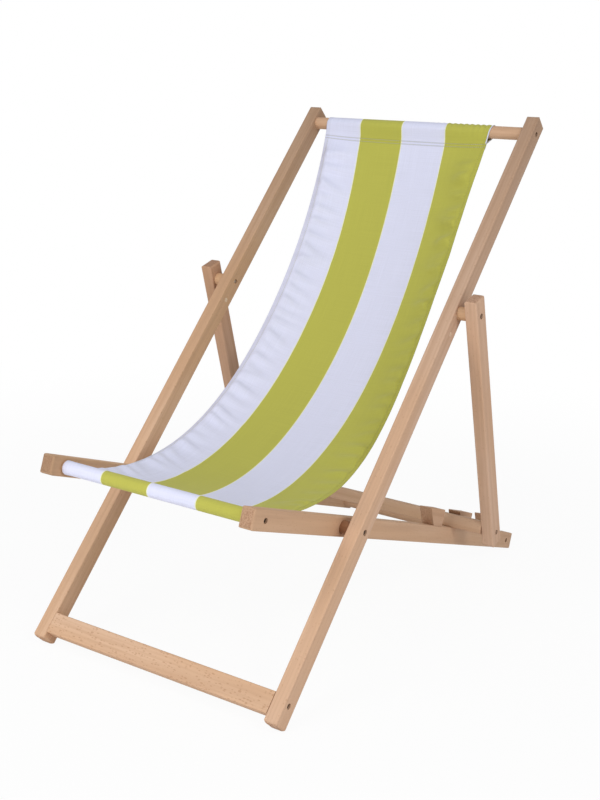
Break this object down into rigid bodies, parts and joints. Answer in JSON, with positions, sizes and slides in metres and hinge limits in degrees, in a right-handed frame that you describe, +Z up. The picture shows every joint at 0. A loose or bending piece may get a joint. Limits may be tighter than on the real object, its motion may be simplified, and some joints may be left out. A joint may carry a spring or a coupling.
{
  "type": "folding sling deck chair",
  "caption": "Folding beech deck chair with a hanging striped canvas sling, a toothed seat frame and a prop frame that sets the recline.",
  "frame": {"origin": "on the floor, on the plane of symmetry, midway along the seat frame's length, which is the bottom centre of the overall box", "axes": "+X to the sitter's left, +Y towards the back of the chair (the sitter faces -Y), +Z up"},
  "size_m": [0.622, 1.0228, 0.9516],
  "materials": {
    "beech": "satin oiled",
    "pale_beech": "satin",
    "zinc_steel": "dull zinc",
    "canvas": "woven, striped"
  },
  "bodies": {
    "back_frame": {"back_rail_left": "beech", "back_rail_right": "beech", "top_dowel": "beech", "foot_board": "beech", "back_frame_screws": "zinc_steel", "back_rail_plugs": "pale_beech", "seat_pivot_pegs": "beech", "seat_pivot_bolts": "zinc_steel", "seat_pivot_nuts": "zinc_steel", "prop_pivot_pegs": "beech", "prop_pivot_bolts": "zinc_steel", "prop_pivot_nuts": "zinc_steel", "sling": "canvas"},
    "seat_frame": {"seat_rail_left": "beech", "seat_rail_right": "beech", "stop_teeth_left": "beech", "stop_teeth_right": "beech", "front_bar": "beech", "rear_dowel": "beech", "seat_frame_screws": "zinc_steel"},
    "prop_frame": {"prop_rail_left": "beech", "prop_rail_right": "beech", "prop_crossbar": "beech", "prop_frame_screws": "zinc_steel"}
  },
  "joints": [
    {"name": "seat_fold", "type": "hinge", "parent": "back_frame", "child": "seat_frame", "pos_m": [0, -0.24201, 0.26811], "axis": [-1, 0, 0], "range_deg": [0, 94], "deforming": ["sling"]},
    {"name": "prop_fold", "type": "hinge", "parent": "back_frame", "child": "prop_frame", "pos_m": [0, 0.06543, 0.60284], "axis": [-1, 0, 0], "range_deg": [0, 53.58]}
  ],
  "couplings": [
    {"joint": "prop_fold", "follows": "seat_fold", "ratio": 0.57}
  ]
}
